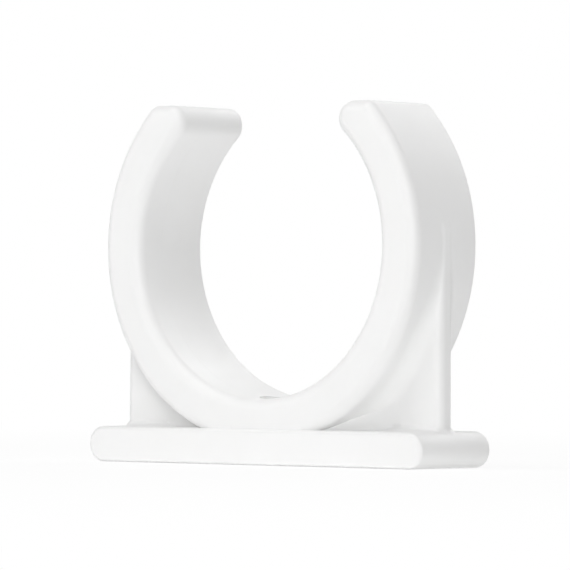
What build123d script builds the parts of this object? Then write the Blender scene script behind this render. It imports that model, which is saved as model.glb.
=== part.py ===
"""Filter housing clip: an open C-ring on a flat base, moulded in one piece of white plastic.

The ring springs over a 50 mm filter housing and grips it by its own stiffness. The base carries
the ring, an upright gusset braces each flank, and one countersunk screw through the floor of the
ring fixes the clip to a panel.

Frame: X along the base, Y along the axis of the held housing, Z up. The origin is the middle of
the underside of the base. All sizes are in millimetres.
"""
import os
from math import acos, asin, cos, degrees, sin

from build123d import *

# Ring
bore_diameter = 50.0  # gripping surface, for a nominal 2 inch housing
ring_wall = 7.5  # radial thickness
ring_depth = 17.1  # along the axis
mouth_width = 32.2  # clear gap between the noses of the two arms
nose_radius = 2.9  # lead-in on the inner corner of each arm
shoulder_radius = 2.0  # outer corner of each arm
ring_edge_radius = 1.9  # front edges of the ring
ring_back_bevel = 0.8  # back edges of the ring

# Base
base_thickness = 5.9
base_depth = 18.8  # a little more than the ring's, so the base stands proud of it
base_toe = 1.95  # how far the base runs out past each gusset
base_edge_bevel = 0.6  # front and back edges of the base
ring_sink = 2.65  # how deep the outside of the ring is let into the base
land_width = 19.4  # land between ring and base, which blunts the clefts on either side of it
land_rise = 0.6  # top of the land above the base

# Gussets
gusset_thickness = 4.0
gusset_edge_flat = 0.8  # what the two roundings of the outer edge leave between them
gusset_proud = 0.35  # outer edge beyond the outside of the ring, at the base
gusset_lean = 0.25  # how far the outer edge leans in on its way up
gusset_rise = 6.3  # axis of the ring to the top of each gusset
gusset_top_radius = 4.0  # top corner, where the gusset dies into the ring
gusset_root_radius = 2.8  # hollow between gusset and ring
gusset_foot_bevel = 0.8  # bevel between gusset and base

# Fixing screw, a 4 mm countersunk head
screw_hole_diameter = 4.5
screw_head_diameter = 9.0
screw_head_angle = 90
screw_head_sink = 0.5  # rim of the countersink below the floor of the ring

bore_radius = bore_diameter / 2
outer_radius = bore_radius + ring_wall
axis_height = base_thickness - ring_sink + outer_radius
gusset_reach = outer_radius + gusset_proud
base_length = 2 * (gusset_reach + base_toe)
ring_plane = Plane(origin=(0, 0, axis_height), x_dir=(1, 0, 0), z_dir=(0, -1, 0))

# Both gussets are the ends of one upright web at mid-depth. Its bottom lies inside the base, and it
# is hollowed out to the middle of the ring's wall, so only its flanks show outside the ring.
web_bottom = (base_thickness - ring_sink) / 3 - axis_height
with BuildPart() as web:
    with BuildSketch(ring_plane):
        with BuildLine():
            Polyline(
                (-gusset_reach, web_bottom),
                (gusset_reach, web_bottom),
                (gusset_reach - gusset_lean, gusset_rise),
                (-gusset_reach + gusset_lean, gusset_rise),
                close=True,
            )
        make_face()
        fillet(vertices().group_by(Axis.Y)[-1], gusset_top_radius)
        Circle(bore_radius + ring_wall / 2, mode=Mode.SUBTRACT)
    extrude(amount=gusset_thickness / 2, both=True)
    side_edges = faces().filter_by(Axis.Y).edges().filter_by(GeomType.LINE)
    outer_edges = side_edges.filter_by(lambda edge: edge.bounding_box().size.Z > gusset_rise)
    fillet(outer_edges, (gusset_thickness - gusset_edge_flat) / 2)

# The base is a bar with full-round ends. The bevel round the foot of the web is made here, before
# the ring covers most of it.
with BuildPart() as base:
    with BuildSketch(Plane.XZ):
        with Locations((0, base_thickness / 2)):
            SlotOverall(base_length, base_thickness)
    extrude(amount=base_depth / 2, both=True)
    chamfer(faces().filter_by(Axis.Y).edges(), base_edge_bevel)
    add(web.part)
    chamfer(edges(Select.NEW), gusset_foot_bevel)

# Each nose is an arc that touches the bore and the level top of its arm.
nose_distance = bore_radius + nose_radius
nose_angle = acos((mouth_width / 2 + nose_radius) / nose_distance)
nose_centre = (nose_distance * cos(nose_angle), nose_distance * sin(nose_angle))
arm_rise = nose_centre[1] + nose_radius
shoulder_angle = asin(arm_rise / outer_radius)
shoulder = (outer_radius * cos(shoulder_angle), arm_rise)

with BuildPart() as clip:
    # Ring, open at the top, with the round nose and shoulder of each arm
    with BuildSketch(ring_plane):
        with BuildLine():
            CenterArc((0, 0), bore_radius, -90, 90 + degrees(nose_angle))
            CenterArc(nose_centre, nose_radius, 180 + degrees(nose_angle), -90 - degrees(nose_angle))
            Line((nose_centre[0], arm_rise), shoulder)
            CenterArc((0, 0), outer_radius, degrees(shoulder_angle), -90 - degrees(shoulder_angle))
            mirror(about=Plane.YZ)
        make_face()
        level_ends = vertices().group_by(Axis.Y)[-1].sort_by(Axis.X)
        fillet([level_ends[0], level_ends[-1]], shoulder_radius)
    extrude(amount=ring_depth / 2, both=True)
    fillet(faces().sort_by(Axis.Y)[0].edges(), ring_edge_radius)
    chamfer(faces().sort_by(Axis.Y)[-1].edges(), ring_back_bevel)

    # Gussets, with the hollow where they run into the ring
    add(web.part)
    fillet(edges(Select.NEW), gusset_root_radius)

    # Base, and the land that carries the ring's front and back faces down to it
    add(base.part)
    with Locations((0, 0, base_thickness + land_rise)):
        Box(
            land_width,
            ring_depth,
            base_thickness / 2 + land_rise,
            align=(Align.CENTER, Align.CENTER, Align.MAX),
        )

    # Screw hole, countersunk from the floor of the ring
    with Locations((0, 0, axis_height - bore_radius - screw_head_sink)):
        CounterSinkHole(
            radius=screw_hole_diameter / 2,
            counter_sink_radius=screw_head_diameter / 2,
            counter_sink_angle=screw_head_angle,
        )

os.makedirs("parts", exist_ok=True)
clip.part.label = "housing_clip"
export_step(clip.part, "parts/housing_clip.step")
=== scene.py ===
"""A white filter housing clip on a pale studio floor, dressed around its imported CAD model."""
from math import cos, radians, sin, sqrt

import bmesh
import bpy
from mathutils import Matrix, Vector


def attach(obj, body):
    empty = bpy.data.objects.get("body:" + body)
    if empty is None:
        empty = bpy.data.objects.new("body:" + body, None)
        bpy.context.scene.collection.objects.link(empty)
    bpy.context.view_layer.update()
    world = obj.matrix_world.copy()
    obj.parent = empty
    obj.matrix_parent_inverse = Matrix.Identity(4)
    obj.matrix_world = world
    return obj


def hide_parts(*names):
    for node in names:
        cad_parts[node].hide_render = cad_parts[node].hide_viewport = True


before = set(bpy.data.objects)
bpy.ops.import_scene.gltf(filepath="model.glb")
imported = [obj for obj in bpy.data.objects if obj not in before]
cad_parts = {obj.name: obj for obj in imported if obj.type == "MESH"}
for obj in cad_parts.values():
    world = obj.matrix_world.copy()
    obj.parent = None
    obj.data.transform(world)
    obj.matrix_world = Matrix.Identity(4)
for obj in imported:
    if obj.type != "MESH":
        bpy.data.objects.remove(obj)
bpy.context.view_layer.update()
scene = bpy.context.scene
scene.view_settings.view_transform = "Standard"

# Clip. One piece of injection-moulded white polypropylene: the open ring that springs over the
# housing, the bar under it and the two gussets. Nothing is fitted to it; one countersunk screw
# through the floor of the ring holds it to a panel.
MM = 0.001
AXIS_HEIGHT = 35.75 * MM  # axis of the ring above the panel
BORE_RADIUS = 25.0 * MM
CREASE_ANGLE = radians(50)  # a 45 degree bevel shades as a rounding, a square corner stays crisp
MERGE_DISTANCE = 0.001 * MM
SLIVER_LENGTH = 0.0001 * MM

cad_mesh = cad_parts["housing_clip"].data
plain_mesh = bpy.data.meshes.new("clip_without_hollows")
plain_mesh.from_pydata(
    [vertex.co for vertex in cad_mesh.vertices], [], [face.vertices for face in cad_mesh.polygons]
)
welded = bmesh.new()
welded.from_mesh(plain_mesh)
bmesh.ops.remove_doubles(welded, verts=welded.verts, dist=MERGE_DISTANCE)
bmesh.ops.dissolve_degenerate(welded, edges=welded.edges, dist=SLIVER_LENGTH)
welded.to_mesh(plain_mesh)
welded.free()
clip = bpy.data.objects.new("clip_moulding", plain_mesh)
scene.collection.objects.link(clip)

# In each of the four clefts beside the land, a hollow runs from the ring's flank to the gusset's
# face, just above the base. It is made as a closed body that reaches a little into all three.
HOLLOW_START, HOLLOW_END = 11.5 * MM, 26.0 * MM  # along the base, from the middle
HOLLOW_SHALLOW = 7.8 * MM  # along the axis, at its start inside the ring
HOLLOW_DEEP = 1.95 * MM  # along the axis, at its end just inside the gusset's face
HOLLOW_CORE = 1.0 * MM  # its hidden side, inside the gusset
HOLLOW_FOOT = 5.7 * MM  # just inside the base
HOLLOW_RISE = 8.0 * MM  # it dies away at this height above its foot
HOLLOW_TOP_RADIUS = 31.9 * MM  # just inside the ring
HOLLOW_SWEEP, HOLLOW_LEAN = 1.6, 1.2  # how fast it falls back along the base and on the way up
HOLLOW_STEPS, HOLLOW_RISES = 24, 10

hollow = bmesh.new()
for hand in (1, -1):
    for way in (1, -1):
        sections = []
        for i in range(HOLLOW_STEPS + 1):
            t = i / HOLLOW_STEPS
            x = HOLLOW_START + t * (HOLLOW_END - HOLLOW_START)
            under_ring = AXIS_HEIGHT - sqrt(HOLLOW_TOP_RADIUS**2 - x**2) - HOLLOW_FOOT
            top = min(under_ring, HOLLOW_RISE)
            outline = [(HOLLOW_CORE, 0.0)]
            for j in range(HOLLOW_RISES + 1):
                rise = top * j / HOLLOW_RISES
                proud = (1 - t) ** HOLLOW_SWEEP * (1 - rise / HOLLOW_RISE) ** HOLLOW_LEAN
                outline.append((HOLLOW_DEEP + proud * (HOLLOW_SHALLOW - HOLLOW_DEEP), rise))
            outline.append((HOLLOW_CORE, top))
            corners = [(hand * x, way * y, HOLLOW_FOOT + z) for y, z in outline]
            sections.append([hollow.verts.new(corner) for corner in corners])
        for near, far in zip(sections, sections[1:]):
            for k in range(len(near)):
                hollow.faces.new((near[k - 1], near[k], far[k], far[k - 1]))
        hollow.faces.new(sections[0])
        hollow.faces.new(sections[-1])
bmesh.ops.triangulate(hollow, faces=hollow.faces)
bmesh.ops.recalc_face_normals(hollow, faces=hollow.faces)
hollow_mesh = bpy.data.meshes.new("cleft_hollows")
hollow.to_mesh(hollow_mesh)
hollow.free()
filler = bpy.data.objects.new("cleft_hollows", hollow_mesh)
scene.collection.objects.link(filler)

# The union is the mesh that is kept. With a leaner hollow it had open edges unless use_self was on.
union = clip.modifiers.new("one_moulding", "BOOLEAN")
union.operation = "UNION"
union.solver = "EXACT"
union.use_self = True
union.object = filler
united = clip.evaluated_get(bpy.context.evaluated_depsgraph_get())
clip_mesh = bpy.data.meshes.new_from_object(united)
clip_mesh.name = "clip_moulding"
clip.modifiers.remove(union)
clip.data = clip_mesh
bpy.data.objects.remove(filler)
bpy.data.meshes.remove(hollow_mesh)
bpy.data.meshes.remove(plain_mesh)
clip_mesh.shade_smooth()
clip_mesh.set_sharp_from_angle(angle=CREASE_ANGLE)
large_faces_lead = clip.modifiers.new("large_faces_lead", "WEIGHTED_NORMAL")
large_faces_lead.mode = "FACE_AREA"
large_faces_lead.keep_sharp = True


def linear(hex_colour):
    """An sRGB hex colour as linear RGBA."""
    channels = [int(hex_colour[i : i + 2], 16) / 255 for i in (1, 3, 5)]
    return [c / 12.92 if c <= 0.04045 else ((c + 0.055) / 1.055) ** 2.4 for c in channels] + [1.0]


def add_node(tree, kind, inputs=None, **settings):
    """Adds a node. Each input is given by name or number, as a value or as another node's output."""
    node = tree.nodes.new(kind)
    for name, value in settings.items():
        setattr(node, name, value)
    for name, value in (inputs or {}).items():
        if isinstance(value, bpy.types.NodeSocket):
            tree.links.new(value, node.inputs[name])
        else:
            node.inputs[name].default_value = value
    return node


# Polypropylene, natural white, from a spark-eroded mould: an even milky white with a soft satin
# gloss. The fine grain of the mould breaks up the highlights, and the shut-off of the mould's core
# leaves a hair line round the bore.
WHITE_LOW, WHITE_HIGH = "#f3f3f2", "#f7f7f7"
ROUGHNESS_LOW, ROUGHNESS_HIGH = 0.40, 0.50
POLYPROPYLENE_IOR = 1.49
NOISE_LOW, NOISE_HIGH = 0.3, 0.7  # most of a noise texture's values lie between these
GRAIN = 0.35 * MM  # the real grain is about 0.1 mm; drawn this coarse so that it shows
GRAIN_DEPTH = 0.006 * MM
CLOUD = 14 * MM  # slow drift of the white, as the melt cooled
SATIN_PATCH = 3 * MM  # size of slightly duller and glossier patches
LINE_PLACE = -2.5 * MM  # along the axis, from the middle of the depth
LINE_WIDTH = 0.25 * MM
LINE_HEIGHT = 0.03 * MM
LINE_REACH = 0.2 * MM  # beyond the bore's radius, so that the whole bore has the line

plastic = bpy.data.materials.new("moulded_white_polypropylene")
plastic.use_nodes = True
tree = plastic.node_tree
tree.nodes.clear()
place = add_node(tree, "ShaderNodeTexCoord").outputs["Object"]
grain = add_node(
    tree,
    "ShaderNodeTexNoise",
    {"Vector": place, "Scale": 1 / GRAIN, "Detail": 2.0, "Roughness": 0.6},
)
cloud = add_node(tree, "ShaderNodeTexNoise", {"Vector": place, "Scale": 1 / CLOUD, "Detail": 3.0})
patch = add_node(
    tree, "ShaderNodeTexNoise", {"Vector": place, "Scale": 1 / SATIN_PATCH, "Detail": 4.0}
)
white = add_node(
    tree,
    "ShaderNodeMix",
    {"Factor": cloud.outputs["Fac"], 6: linear(WHITE_LOW), 7: linear(WHITE_HIGH)},
    data_type="RGBA",
)
satin = add_node(
    tree,
    "ShaderNodeMapRange",
    {
        "Value": patch.outputs["Fac"],
        "From Min": NOISE_LOW,
        "From Max": NOISE_HIGH,
        "To Min": ROUGHNESS_LOW,
        "To Max": ROUGHNESS_HIGH,
    },
)
# The hair line: a low ridge at one place along the axis, on the bore only
along = add_node(tree, "ShaderNodeSeparateXYZ", {"Vector": place})
on_line = add_node(
    tree,
    "ShaderNodeMath",
    {0: along.outputs["Y"], 1: LINE_PLACE, 2: LINE_WIDTH / 2},
    operation="COMPARE",
)
from_axis = add_node(
    tree,
    "ShaderNodeVectorMath",
    {0: place, 1: (0.0, LINE_PLACE, AXIS_HEIGHT)},
    operation="DISTANCE",
)
on_bore = add_node(
    tree,
    "ShaderNodeMath",
    {0: from_axis.outputs["Value"], 1: BORE_RADIUS + LINE_REACH},
    operation="LESS_THAN",
)
ridge = add_node(
    tree,
    "ShaderNodeMath",
    {0: on_line.outputs["Value"], 1: on_bore.outputs["Value"]},
    operation="MULTIPLY",
)
grain_bump = add_node(
    tree,
    "ShaderNodeBump",
    {"Height": grain.outputs["Fac"], "Strength": 1.0, "Distance": GRAIN_DEPTH},
)
line_bump = add_node(
    tree,
    "ShaderNodeBump",
    {
        "Height": ridge.outputs["Value"],
        "Strength": 1.0,
        "Distance": LINE_HEIGHT,
        "Normal": grain_bump.outputs["Normal"],
    },
)
surface = add_node(
    tree,
    "ShaderNodeBsdfPrincipled",
    {
        "Base Color": white.outputs[2],
        "Roughness": satin.outputs["Result"],
        "Normal": line_bump.outputs["Normal"],
        "IOR": POLYPROPYLENE_IOR,
    },
)
add_node(tree, "ShaderNodeOutputMaterial", {"Surface": surface.outputs["BSDF"]})
clip_mesh.materials.append(plastic)

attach(clip, "root")
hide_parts("housing_clip")

# Floor. A wide sheet of matt white studio paper that itself glows a little. This painted glow stands in
# for a light table beneath and throws light up under the clip. The paper takes a faint shadow; to the
# camera most of it is plain white, all of it further off.
FLOOR_RADIUS = 12.0
FLOOR_SEGMENTS = 96
FLOOR_DROP = 0.02 * MM  # below the clip, so that the two don't share a plane
FLOOR_PAINTED_GLOW = 0.25
PAPER_WHITE, PURE_WHITE = "#f2f2f2", "#ffffff"
SHADE_REACH = 0.35  # beyond this distance from the clip the paper is plain white
SHADE_SHARE = 0.2  # how much of the paper's own shading the camera sees near the clip

paper_mesh = bpy.data.meshes.new("studio_paper")
disc = bmesh.new()
bmesh.ops.create_circle(disc, cap_ends=True, radius=FLOOR_RADIUS, segments=FLOOR_SEGMENTS)
disc.to_mesh(paper_mesh)
disc.free()
floor = bpy.data.objects.new("studio_paper", paper_mesh)
floor.location.z = -FLOOR_DROP
scene.collection.objects.link(floor)


def directly_seen(tree):
    """An output that is 1 for camera, glossy and transmission rays, and 0 for rays that light things."""
    rays = add_node(tree, "ShaderNodeLightPath").outputs
    seen = rays["Is Camera Ray"]
    for other in ("Is Glossy Ray", "Is Transmission Ray"):
        either = add_node(tree, "ShaderNodeMath", {0: seen, 1: rays[other]}, operation="MAXIMUM")
        seen = either.outputs["Value"]
    return seen


paper = bpy.data.materials.new("matt_white_paper")
paper.use_nodes = True
tree = paper.node_tree
tree.nodes.clear()
place = add_node(tree, "ShaderNodeTexCoord").outputs["Object"]
distance = add_node(tree, "ShaderNodeVectorMath", {0: place}, operation="LENGTH")
shade = add_node(
    tree,
    "ShaderNodeMapRange",
    {
        "Value": distance.outputs["Value"],
        "From Min": 0.0,
        "From Max": SHADE_REACH,
        "To Min": 1.0 - SHADE_SHARE,
        "To Max": 1.0,
    },
    interpolation_type="SMOOTHSTEP",
)
plain = add_node(
    tree,
    "ShaderNodeMath",
    {0: shade.outputs["Result"], 1: directly_seen(tree)},
    operation="MULTIPLY",
)
matt = add_node(tree, "ShaderNodeBsdfDiffuse", {"Color": linear(PAPER_WHITE)})
# painted glow: the paper gives off light of its own, added to its matt shading, so that it lights the
# clip from below
painted_glow = add_node(tree, "ShaderNodeEmission", {"Color": linear(PURE_WHITE), "Strength": FLOOR_PAINTED_GLOW})
lit = add_node(tree, "ShaderNodeAddShader", {0: matt.outputs["BSDF"], 1: painted_glow.outputs["Emission"]})
bright = add_node(tree, "ShaderNodeEmission", {"Color": linear(PURE_WHITE), "Strength": 1.0})
mixed = add_node(
    tree,
    "ShaderNodeMixShader",
    {0: plain.outputs["Value"], 1: lit.outputs["Shader"], 2: bright.outputs["Emission"]},
)
add_node(tree, "ShaderNodeOutputMaterial", {"Surface": mixed.outputs["Shader"]})
paper_mesh.materials.append(paper)

# Light. A large softbox at the front left, a small low one at the front right, a large one high up
# that reaches the floor of the bore through the mouth, and a large one behind. The backdrop is seen
# as white and lights nothing.
world = bpy.data.worlds.new("white_backdrop")
scene.world = world
world.use_nodes = True
tree = world.node_tree
tree.nodes.clear()
backdrop = add_node(
    tree, "ShaderNodeBackground", {"Color": linear(PURE_WHITE), "Strength": directly_seen(tree)}
)
add_node(tree, "ShaderNodeOutputWorld", {"Surface": backdrop.outputs["Background"]})

# name, azimuth and elevation in degrees seen from the clip, distance and side in metres, watts
SOFTBOXES = [
    ("softbox_left", -45, 20, 0.9, 0.7, 1.7),
    ("softbox_right", 40, 8, 0.9, 0.25, 2.7),
    ("softbox_above", 0, 72, 0.9, 0.7, 4.8),
    ("softbox_behind", 180, 30, 0.9, 0.7, 3.0),
]
for name, azimuth, elevation, reach, side, power in SOFTBOXES:
    lamp = bpy.data.lights.new(name, "AREA")
    lamp.shape = "SQUARE"
    lamp.size = side
    lamp.energy = power
    box = bpy.data.objects.new(name, lamp)
    a, e = radians(azimuth), radians(elevation)
    outward = Vector((sin(a) * cos(e), -cos(a) * cos(e), sin(e)))
    box.location = Vector((0, 0, AXIS_HEIGHT)) + outward * reach
    box.rotation_euler = outward.to_track_quat("Z", "Y").to_euler()
    scene.collection.objects.link(box)

# Camera. Low, a little right of the clip's front, and far off with a long lens, so that the near and
# the far arm keep almost the same size. The numbers place the ring's centre in the picture.
YAW, PITCH, ROLL = radians(38.41), radians(-0.55), radians(0.43)
CAMERA_DISTANCE = 859 * MM
SIDE_STEP, HEIGHT_STEP = 0.49 * MM, 6.29 * MM
SENSOR = 36.0  # in mm, as Blender counts it
FOCAL_IN_PICTURE_WIDTHS = 5232 / 570
NEAREST, FARTHEST = 0.05, 50

right = Vector((cos(YAW), sin(YAW), 0))
ahead = Vector((-sin(YAW) * cos(PITCH), cos(YAW) * cos(PITCH), -sin(PITCH)))
up = right.cross(ahead)
right, up = cos(ROLL) * right + sin(ROLL) * up, cos(ROLL) * up - sin(ROLL) * right
lens = bpy.data.cameras.new("camera")
lens.sensor_width = SENSOR
lens.lens = SENSOR * FOCAL_IN_PICTURE_WIDTHS
lens.clip_start, lens.clip_end = NEAREST, FARTHEST
camera = bpy.data.objects.new("camera", lens)
turn = Matrix((right, up, -ahead)).transposed().to_4x4()
sideways = SIDE_STEP * right + HEIGHT_STEP * up
stand = Vector((0, 0, AXIS_HEIGHT)) - sideways - CAMERA_DISTANCE * ahead
camera.matrix_world = Matrix.Translation(stand) @ turn
scene.collection.objects.link(camera)
scene.camera = camera
